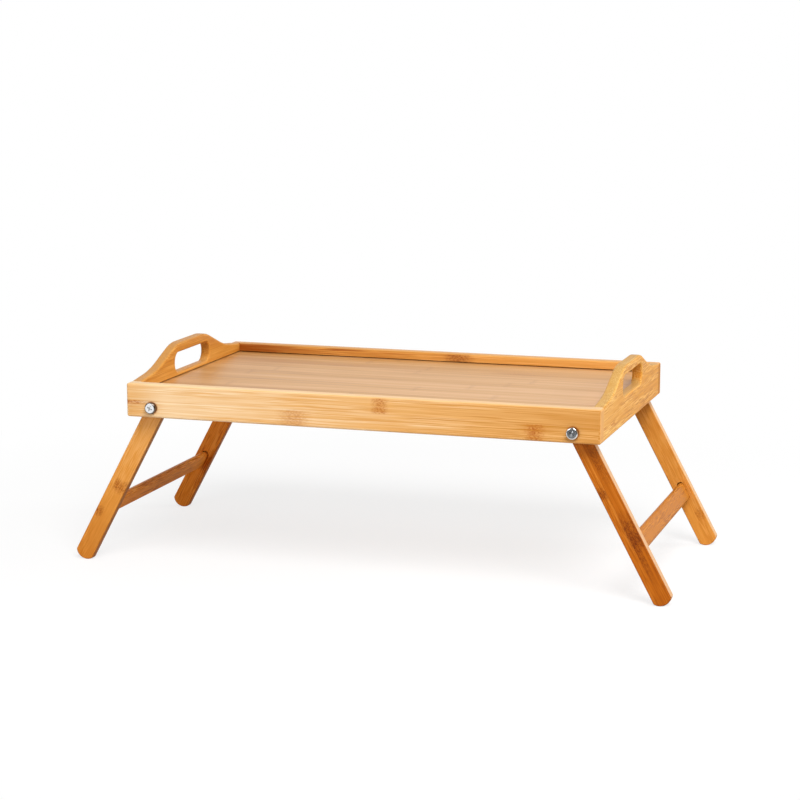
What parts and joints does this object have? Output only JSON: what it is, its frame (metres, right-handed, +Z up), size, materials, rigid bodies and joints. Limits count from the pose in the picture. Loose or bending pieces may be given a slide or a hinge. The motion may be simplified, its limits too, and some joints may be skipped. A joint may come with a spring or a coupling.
{
  "type": "folding bed tray",
  "caption": "Bamboo breakfast tray with raised slotted end handles and splayed legs that fold flat under its floor panel.",
  "frame": {"origin": "on the floor under the middle of the tray, legs open", "axes": "+X along the tray to its right end, +Y to the back, +Z up"},
  "size_m": [0.6388, 0.3092, 0.2215],
  "materials": {
    "rail_bamboo": "laminated carbonised bamboo, satin clear lacquer",
    "end_board_bamboo": "laminated carbonised bamboo, satin clear lacquer",
    "panel_bamboo": "laminated carbonised bamboo, satin clear lacquer",
    "leg_bamboo": "laminated carbonised bamboo, satin clear lacquer",
    "cross_bar_bamboo": "laminated carbonised bamboo, satin clear lacquer",
    "dowel_bamboo": "plain turned bamboo",
    "bolt_steel": "bright zinc plated steel",
    "washer_steel": "zinc plated steel",
    "nut_steel": "zinc plated steel",
    "spacer_nylon": "natural nylon",
    "ring_nylon": "natural nylon"
  },
  "bodies": {
    "tray": {"front_rail": "rail_bamboo", "back_rail": "rail_bamboo", "left_end_board": "end_board_bamboo", "front_left_pivot_bolt": "bolt_steel", "front_left_spacer_washer": "spacer_nylon", "front_left_inner_washer": "washer_steel", "front_left_lock_nut": "nut_steel", "front_left_locking_ring": "ring_nylon", "front_left_corner_dowels": "dowel_bamboo", "back_left_pivot_bolt": "bolt_steel", "back_left_spacer_washer": "spacer_nylon", "back_left_inner_washer": "washer_steel", "back_left_lock_nut": "nut_steel", "back_left_locking_ring": "ring_nylon", "back_left_corner_dowels": "dowel_bamboo", "right_end_board": "end_board_bamboo", "front_right_pivot_bolt": "bolt_steel", "front_right_spacer_washer": "spacer_nylon", "front_right_inner_washer": "washer_steel", "front_right_lock_nut": "nut_steel", "front_right_locking_ring": "ring_nylon", "front_right_corner_dowels": "dowel_bamboo", "back_right_pivot_bolt": "bolt_steel", "back_right_spacer_washer": "spacer_nylon", "back_right_inner_washer": "washer_steel", "back_right_lock_nut": "nut_steel", "back_right_locking_ring": "ring_nylon", "back_right_corner_dowels": "dowel_bamboo", "tray_panel": "panel_bamboo"},
    "left_leg_frame": {"left_front_leg": "leg_bamboo", "left_back_leg": "leg_bamboo", "left_cross_bar": "cross_bar_bamboo"},
    "right_leg_frame": {"right_front_leg": "leg_bamboo", "right_back_leg": "leg_bamboo", "right_cross_bar": "cross_bar_bamboo"}
  },
  "joints": [
    {"name": "left_leg_fold", "type": "hinge", "parent": "tray", "child": "left_leg_frame", "pos_m": [-0.22225, 0, 0.17098], "axis": [0, -1, 0], "range_deg": [0, 118.2]},
    {"name": "right_leg_fold", "type": "hinge", "parent": "tray", "child": "right_leg_frame", "pos_m": [0.22225, 0, 0.17098], "axis": [0, 1, 0], "range_deg": [0, 118.2]}
  ]
}
